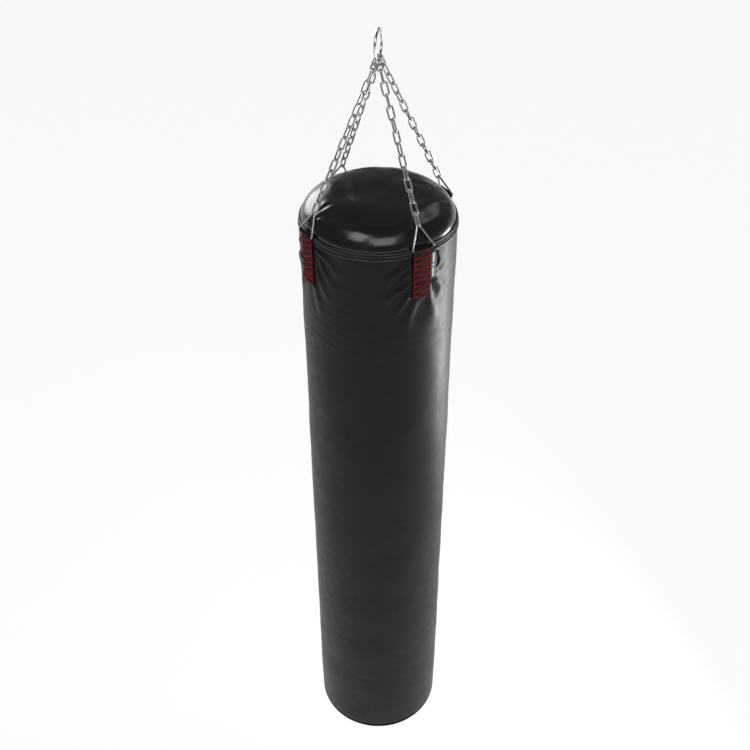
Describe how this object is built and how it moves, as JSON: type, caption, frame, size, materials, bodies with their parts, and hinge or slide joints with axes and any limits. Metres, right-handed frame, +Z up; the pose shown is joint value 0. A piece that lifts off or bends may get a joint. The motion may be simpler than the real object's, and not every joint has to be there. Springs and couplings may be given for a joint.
{
  "type": "hanging heavy punching bag",
  "caption": "Tall filled cylindrical punching bag with a zipped lid, hung by stitched straps, triangle rings and link chains from one steel ring.",
  "frame": {"origin": "inside of the top of the hanging ring, where a hook bears", "axes": "+Z up along the bag's axis; the ring lies in the YZ plane, so +X is along the ring's hole; the straps are at 45 degrees to +X and +Y; -Y is the front"},
  "size_m": [0.3518, 0.3518, 2.13],
  "materials": {
    "zinc_steel": "bright zinc-plated steel wire, smooth",
    "webbing": "tight black polyester webbing with red zigzag stitching",
    "lining_webbing": "plain dark woven lining",
    "matte_vinyl": "satin black vinyl-coated fabric, fine grain",
    "gloss_vinyl": "glossy soft black vinyl, puckered at the seam",
    "piping_vinyl": "glossy black vinyl bead",
    "zip_tape": "black woven zip tape",
    "zip_coil": "black nylon zip coil",
    "zip_metal": "black lacquered zinc casting",
    "label_fabric": "black satin ribbon with a plain light stripe",
    "foam": "grey foam and felt padding",
    "textile_fill": "packed shredded textile"
  },
  "bodies": {
    "ring": {"hanging_ring": "zinc_steel"},
    "bag": {"chain_front_right": "zinc_steel", "chain_back_right": "zinc_steel", "chain_back_left": "zinc_steel", "chain_front_left": "zinc_steel", "triangle_front_right": "zinc_steel", "triangle_back_right": "zinc_steel", "triangle_back_left": "zinc_steel", "triangle_front_left": "zinc_steel", "strap_front_right": "webbing", "strap_back_right": "webbing", "strap_back_left": "webbing", "strap_front_left": "webbing", "backing_front_right": "lining_webbing", "backing_back_right": "lining_webbing", "backing_back_left": "lining_webbing", "backing_front_left": "lining_webbing", "side_cover": "matte_vinyl", "bottom_panel": "matte_vinyl", "bottom_seam_tape": "lining_webbing", "rim_band": "lining_webbing", "rim_welt": "piping_vinyl", "foam_liner": "foam", "filling": "textile_fill", "base_pad": "foam", "top_pad": "foam", "lid": "gloss_vinyl", "lid_piping": "piping_vinyl", "zip_tape_lower": "zip_tape", "zip_tape_upper": "zip_tape", "zip_coil_lower": "zip_coil", "zip_coil_upper": "zip_coil", "zip_stops": "zip_metal", "side_label": "label_fabric"},
    "flap": {"lid_flap": "gloss_vinyl", "lid_piping_flap": "piping_vinyl", "zip_tape_upper_flap": "zip_tape", "zip_coil_upper_flap": "zip_coil"},
    "slider": {"zip_slider": "zip_metal"},
    "pull": {"zip_pull": "zip_metal"}
  },
  "joints": [
    {"name": "bag_swing", "type": "hinge", "parent": "ring", "child": "bag", "pos_m": [0, 0, -0.0543], "axis": [0, 1, 0], "range_deg": [-35, 35]},
    {"name": "lid_flap_lift", "type": "hinge", "parent": "bag", "child": "flap", "pos_m": [0, 0.151, -0.3654], "axis": [1, 0, 0], "range_deg": [0, 30]},
    {"name": "zip_travel", "type": "hinge", "parent": "bag", "child": "slider", "pos_m": [0, 0, -0.405], "axis": [0, 0, 1], "range_deg": [0, 66]},
    {"name": "pull_flip", "type": "hinge", "parent": "slider", "child": "pull", "pos_m": [0.09782, 0.15063, -0.405], "axis": [0.8387, -0.5446, 0], "range_deg": [0, 150]}
  ]
}
